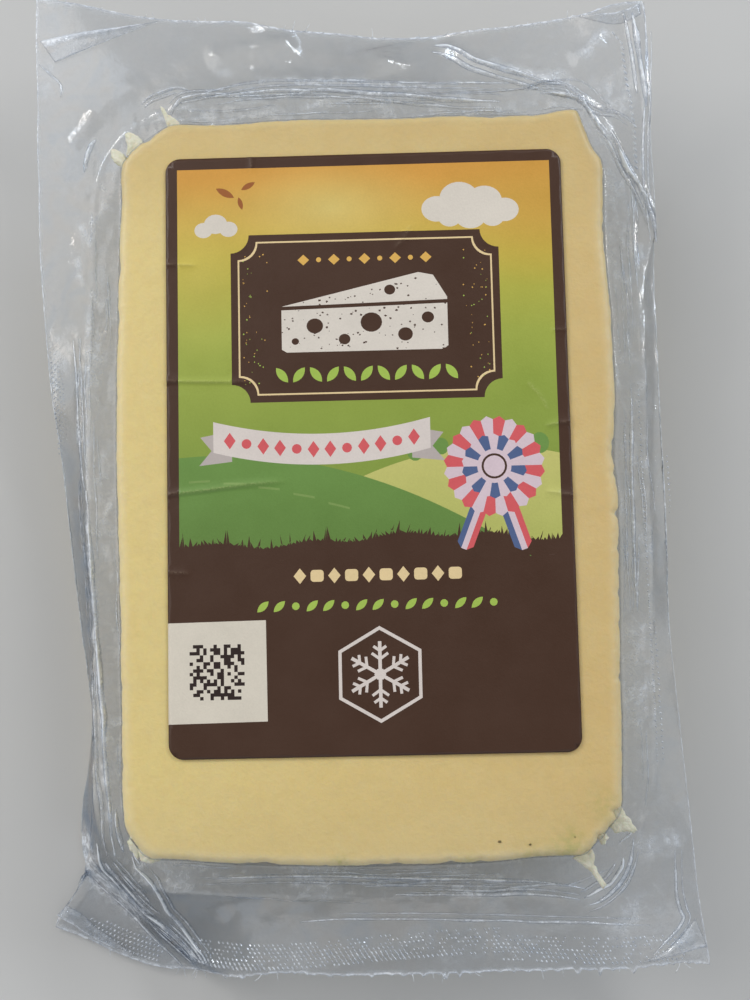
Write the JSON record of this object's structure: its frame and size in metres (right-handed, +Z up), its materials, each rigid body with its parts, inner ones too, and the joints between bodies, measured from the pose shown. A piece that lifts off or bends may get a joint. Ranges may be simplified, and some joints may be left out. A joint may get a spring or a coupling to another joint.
{
  "type": "vegan cheese block",
  "caption": "Oblong block of pale cheese sealed in a tight clear vacuum pack with a wide crimped border all round and a printed label on its top.",
  "frame": {"origin": "middle of the whole pack's bounding box in plan, on the surface the pack lies on", "axes": "+Z up through the label; +Y along the block's length towards the back, the label's head; +X to the right across it"},
  "size_m": [0.1098, 0.1678, 0.0204],
  "materials": {
    "cheese": "satin",
    "film": "gloss",
    "label": "satin"
  },
  "bodies": {
    "root": {"cheese_block": "cheese", "clear_pack": "film", "top_label": "label"}
  },
  "joints": []
}
